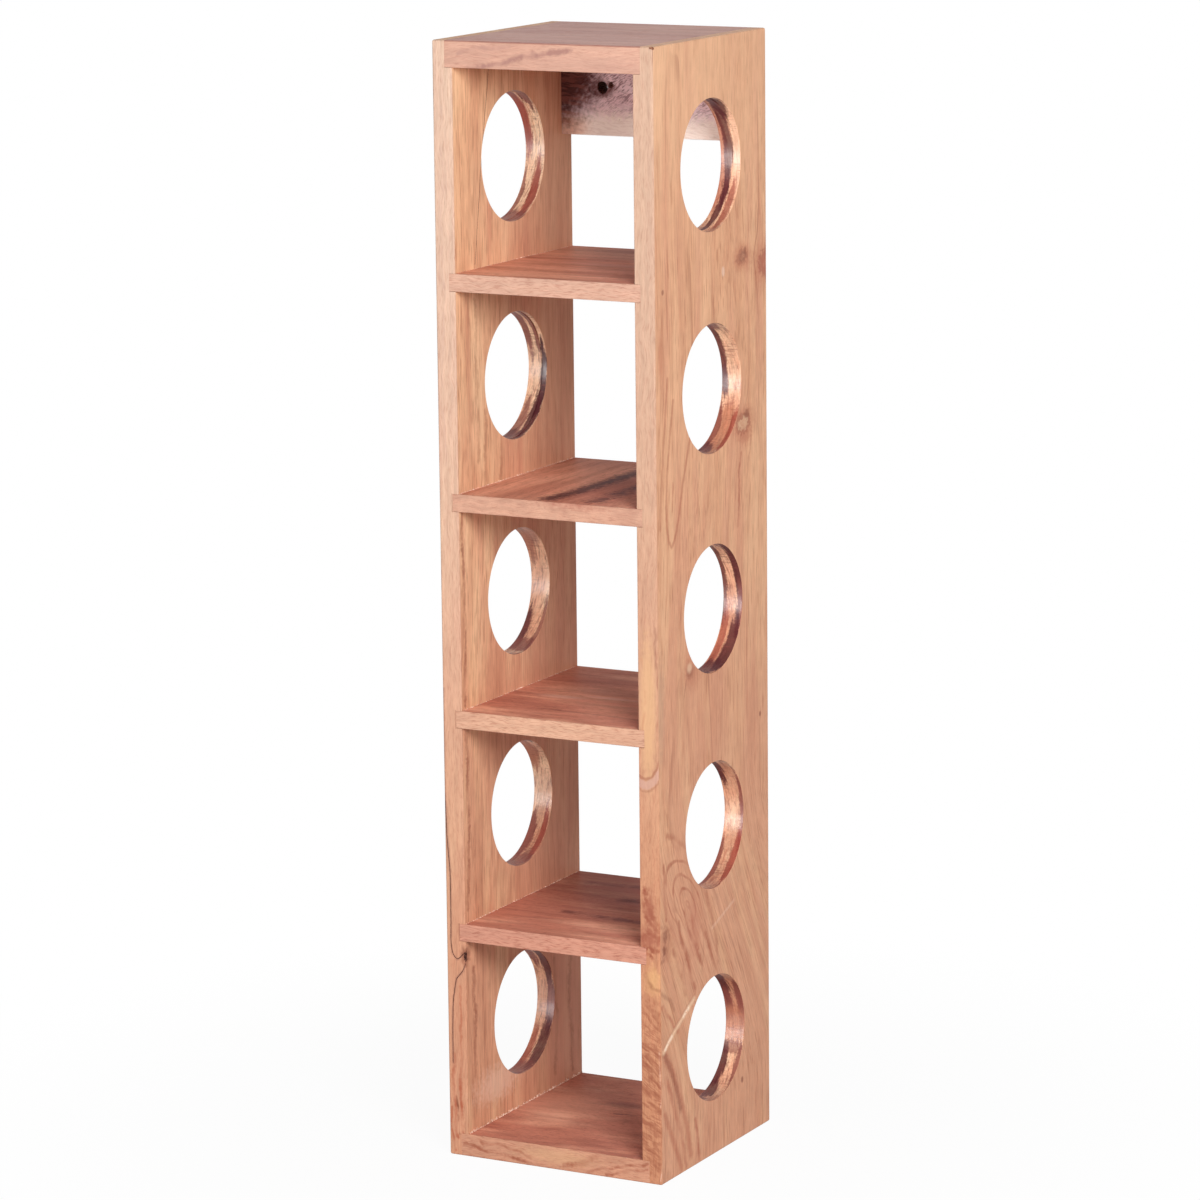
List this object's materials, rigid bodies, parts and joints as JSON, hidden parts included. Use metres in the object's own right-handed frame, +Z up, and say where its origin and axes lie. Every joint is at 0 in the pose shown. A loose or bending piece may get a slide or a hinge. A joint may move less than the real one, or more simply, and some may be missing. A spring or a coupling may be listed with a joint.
{
  "type": "wall wine rack",
  "caption": "Tall narrow solid-wood wall rack: open stacked bays between two bored sides that hold wine bottles crosswise, with a hanging rail at the back.",
  "frame": {"origin": "middle of the base, on the surface that the rack would stand on", "axes": "+X to the right seen from the front, +Y to the wall, +Z up"},
  "size_m": [0.15, 0.152, 0.7],
  "materials": {
    "side_wood": "satin clear finish on warm tan hardwood, grain upright",
    "level_wood": "satin clear finish on reddish tan hardwood, grain along the rack's width",
    "rail_wood": "thin finish on rough-sawn dark reddish hardwood",
    "dowel_wood": "bare pale hardwood"
  },
  "bodies": {
    "root": {"left_side": "side_wood", "right_side": "side_wood", "bottom_panel": "level_wood", "shelf_1": "level_wood", "shelf_2": "level_wood", "shelf_3": "level_wood", "shelf_4": "level_wood", "top_panel": "level_wood", "hanging_rail": "rail_wood", "bottom_panel_dowels": "dowel_wood", "shelf_1_dowels": "dowel_wood", "shelf_2_dowels": "dowel_wood", "shelf_3_dowels": "dowel_wood", "shelf_4_dowels": "dowel_wood", "top_panel_dowels": "dowel_wood", "hanging_rail_dowels": "dowel_wood"}
  },
  "joints": []
}
